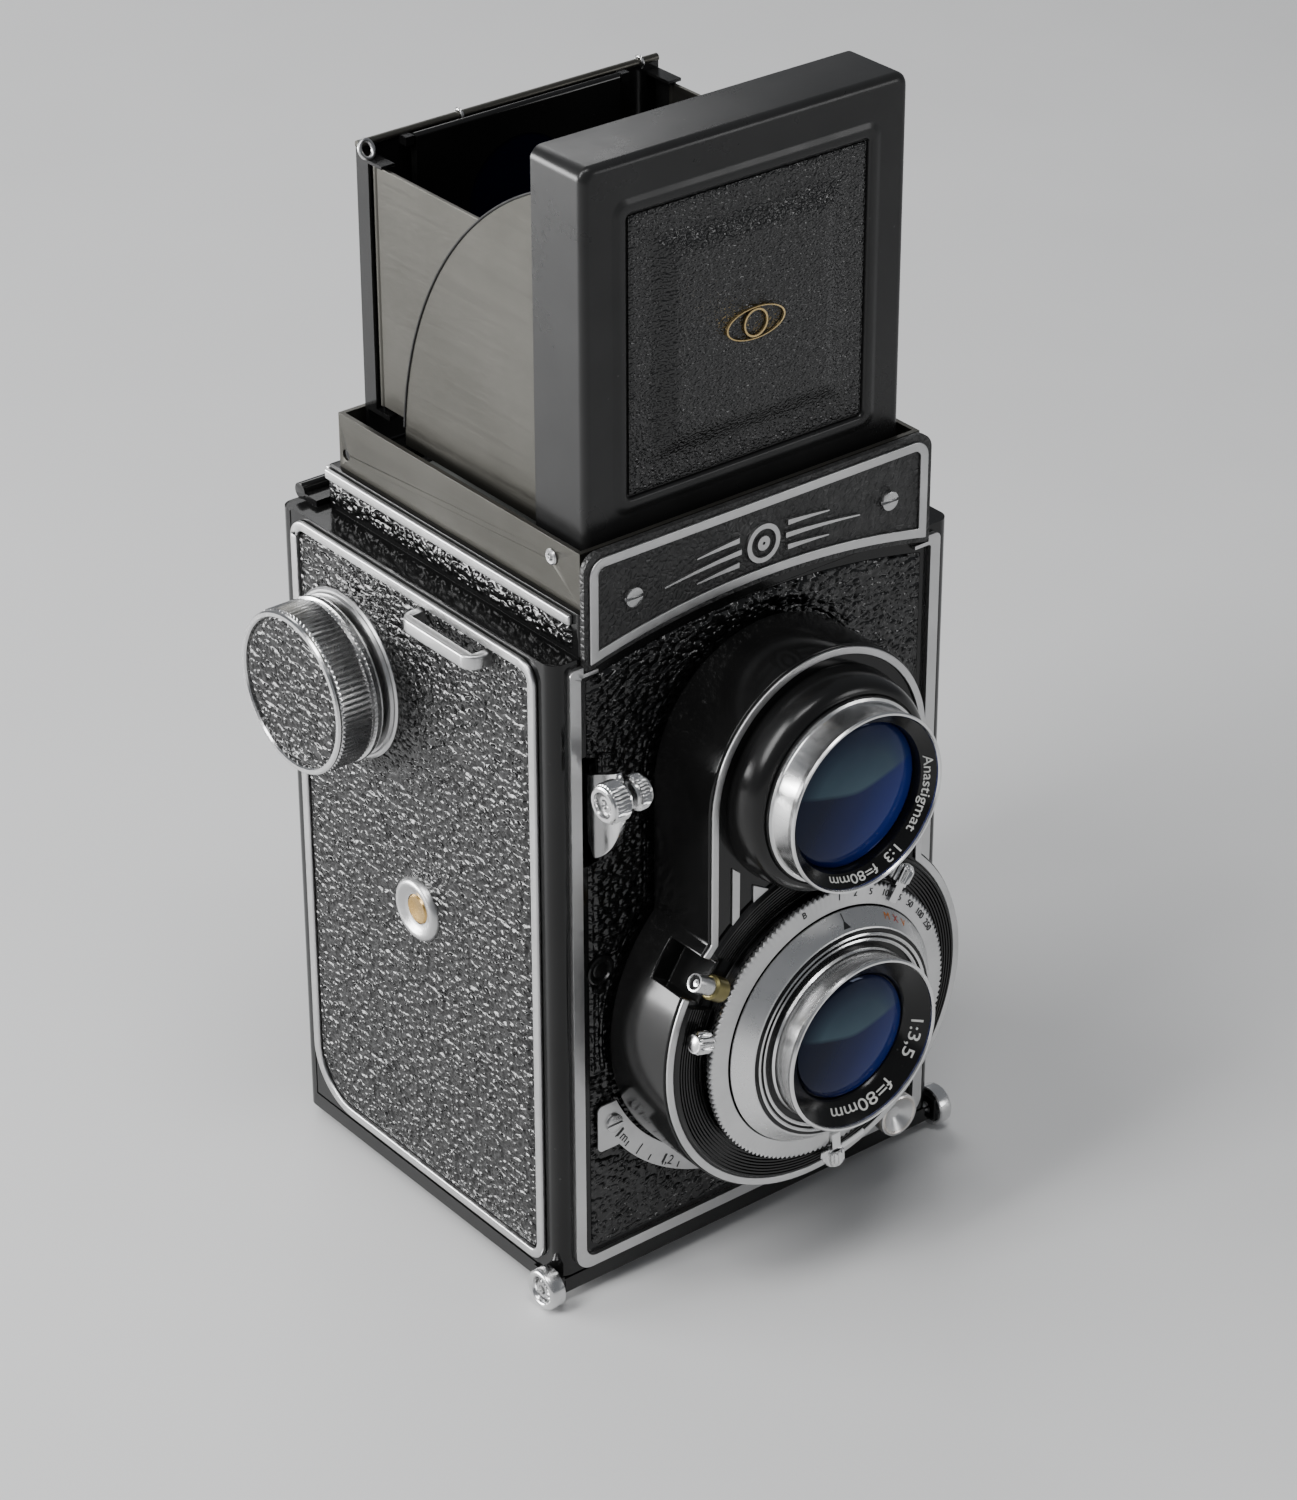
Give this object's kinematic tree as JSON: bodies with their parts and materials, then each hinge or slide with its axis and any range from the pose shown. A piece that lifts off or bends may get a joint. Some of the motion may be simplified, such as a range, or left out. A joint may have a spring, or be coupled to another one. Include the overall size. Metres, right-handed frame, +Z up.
{
  "type": "twin lens reflex camera",
  "caption": "Roll film twin lens reflex camera with an open folding hood, focusing lens board, leaf shutter rings, wind knob and hinged back.",
  "frame": {"origin": "mouth of the tripod socket, on the plane that the feet stand on, midway between the side panels", "axes": "+Z up out of the viewing hood, -Y the way the lenses look, -X the side with the film wind knob"},
  "size_m": [0.0914, 0.0951, 0.1853],
  "materials": {
    "black_enamel": "gloss black enamel",
    "black_crackle": "fine black crackle finish",
    "leatherette": "coarse black pebbled leatherette",
    "satin_trim": "satin polished aluminium",
    "chrome": "polished chrome plate",
    "knurled_chrome": "satin chrome with knurling",
    "hood_sheet": "brushed grey gunmetal sheet",
    "glass": "coated optical glass",
    "mirror": "front silvered mirror",
    "screen_glass": "ground glass",
    "brass": "lacquered brass",
    "matte_black": "matt black inside paint",
    "steel": "plain steel"
  },
  "bodies": {
    "camera_body": {"body_shell": "black_enamel", "body_trims": "satin_trim", "body_leathers": "leatherette", "front_trim": "satin_trim", "front_leather": "leatherette", "name_plate": "black_crackle", "name_plate_trim": "satin_trim", "panel_screws": "steel", "top_rim": "black_enamel", "hood_base_frame": "hood_sheet", "screen_frame": "matte_black", "focusing_screen": "screen_glass", "mirror_box": "matte_black", "reflex_mirror": "mirror", "taking_chamber": "matte_black", "film_gate": "matte_black", "wind_base_ring": "satin_trim", "release_bezel": "satin_trim", "strap_lugs": "satin_trim", "focus_scale": "satin_trim"},
    "lens_board": {"lens_housing": "black_enamel", "housing_trim": "satin_trim", "lens_sleeve": "matte_black", "viewing_barrel": "chrome", "viewing_glass": "glass", "shutter_case": "black_enamel", "face_ring": "chrome", "taking_barrel": "chrome", "taking_glass": "glass", "rear_elements": "glass", "sync_post": "brass"},
    "focus_drive": {"focus_lever": "satin_trim"},
    "speed_dial": {"speed_ring": "knurled_chrome"},
    "cocking": {"cocking_lever": "chrome"},
    "aperture": {"aperture_lever": "chrome"},
    "selector": {"selector_lever": "chrome"},
    "release": {"release_lever": "chrome", "release_handle": "knurled_chrome"},
    "advance": {"advance_button": "brass"},
    "winder": {"wind_knob": "knurled_chrome", "wind_knob_leather": "leatherette", "takeup_spool": "matte_black"},
    "feed": {"feed_spool": "matte_black"},
    "lower_roller": {"film_roller_lower": "steel"},
    "upper_roller": {"film_roller_upper": "steel"},
    "door": {"back_door": "black_enamel", "tripod_bush": "knurled_chrome", "door_leather": "leatherette", "pressure_plate": "steel", "pressure_springs": "steel"},
    "latch_left": {"latch_knob_left": "knurled_chrome"},
    "latch_right": {"latch_knob_right": "knurled_chrome"},
    "lid": {"hood_lid": "black_enamel", "lid_leather": "leatherette", "lid_wings": "hood_sheet"},
    "hood_back": {"back_panel": "black_enamel"},
    "leaf_left": {"rear_leaf_left": "hood_sheet"},
    "leaf_right": {"rear_leaf_right": "hood_sheet"},
    "magnifier": {"magnifier_frame": "black_enamel", "magnifier_lens": "glass"}
  },
  "joints": [
    {"name": "focus_slide", "type": "slide", "parent": "camera_body", "child": "lens_board", "axis": [0, -1, 0], "range_m": [0, 0.007]},
    {"name": "focus_turn", "type": "hinge", "parent": "camera_body", "child": "focus_drive", "pos_m": [0, -0.034, 0.046], "axis": [0, 1, 0], "range_deg": [0, 89]},
    {"name": "speed_turn", "type": "hinge", "parent": "lens_board", "child": "speed_dial", "pos_m": [0, -0.0512, 0.046], "axis": [0, -1, 0], "range_deg": [0, 150]},
    {"name": "cocking_turn", "type": "hinge", "parent": "lens_board", "child": "cocking", "pos_m": [0, -0.04925, 0.046], "axis": [0, 1, 0], "range_deg": [0, 45], "stiffness_Nm_per_rad": 0.02},
    {"name": "aperture_turn", "type": "hinge", "parent": "lens_board", "child": "aperture", "pos_m": [0, -0.04975, 0.046], "axis": [0, -1, 0], "range_deg": [0, 42]},
    {"name": "selector_turn", "type": "hinge", "parent": "lens_board", "child": "selector", "pos_m": [0, -0.05025, 0.046], "axis": [0, -1, 0], "range_deg": [0, 38]},
    {"name": "release_press", "type": "hinge", "parent": "camera_body", "child": "release", "pos_m": [-0.0317, -0.0295, 0.091], "axis": [1, 0, 0], "range_deg": [0, 16], "stiffness_Nm_per_rad": 0.05},
    {"name": "advance_press", "type": "slide", "parent": "camera_body", "child": "advance", "axis": [1, 0, 0], "range_m": [0, 0.0014], "stiffness_N_per_m": 400},
    {"name": "wind_turn", "type": "hinge", "parent": "camera_body", "child": "winder", "pos_m": [-0.04, 0.0172, 0.09], "axis": [-1, 0, 0], "continuous": true},
    {"name": "feed_turn", "type": "hinge", "parent": "camera_body", "child": "feed", "pos_m": [0, -0.015, 0.017], "axis": [1, 0, 0], "continuous": true},
    {"name": "lower_roller_turn", "type": "hinge", "parent": "camera_body", "child": "lower_roller", "pos_m": [0, 0.0271, 0.012], "axis": [1, 0, 0], "continuous": true},
    {"name": "upper_roller_turn", "type": "hinge", "parent": "camera_body", "child": "upper_roller", "pos_m": [0, 0.0271, 0.0795], "axis": [1, 0, 0], "continuous": true},
    {"name": "door_swing", "type": "hinge", "parent": "camera_body", "child": "door", "pos_m": [0, 0.033, 0.1136], "axis": [1, 0, 0], "range_deg": [0, 110]},
    {"name": "latch_left_turn", "type": "hinge", "parent": "door", "child": "latch_left", "pos_m": [-0.0399, -0.0329, 0.0037], "axis": [-1, 0, 0], "range_deg": [0, 90]},
    {"name": "latch_right_turn", "type": "hinge", "parent": "door", "child": "latch_right", "pos_m": [0.0399, -0.0329, 0.0037], "axis": [1, 0, 0], "range_deg": [0, 90]},
    {"name": "lid_tilt", "type": "hinge", "parent": "camera_body", "child": "lid", "pos_m": [0, -0.0265, 0.1256], "axis": [-1, 0, 0], "range_deg": [0, 20]},
    {"name": "hood_back_tilt", "type": "hinge", "parent": "camera_body", "child": "hood_back", "pos_m": [0, 0.0245, 0.122], "axis": [1, 0, 0], "range_deg": [0, 12]},
    {"name": "leaf_left_fold", "type": "hinge", "parent": "hood_back", "child": "leaf_left", "pos_m": [-0.0269, 0.0212, 0.149], "axis": [0, 0, 1], "range_deg": [0, 90]},
    {"name": "leaf_right_fold", "type": "hinge", "parent": "hood_back", "child": "leaf_right", "pos_m": [0.0269, 0.0194, 0.149], "axis": [0, 0, -1], "range_deg": [0, 90]},
    {"name": "magnifier_swing", "type": "hinge", "parent": "hood_back", "child": "magnifier", "pos_m": [0, 0.0229, 0.1704], "axis": [-1, 0, 0], "range_deg": [0, 90]}
  ],
  "couplings": [
    {"joint": "focus_turn", "follows": "focus_slide", "rad_per_m": 221.91}
  ]
}
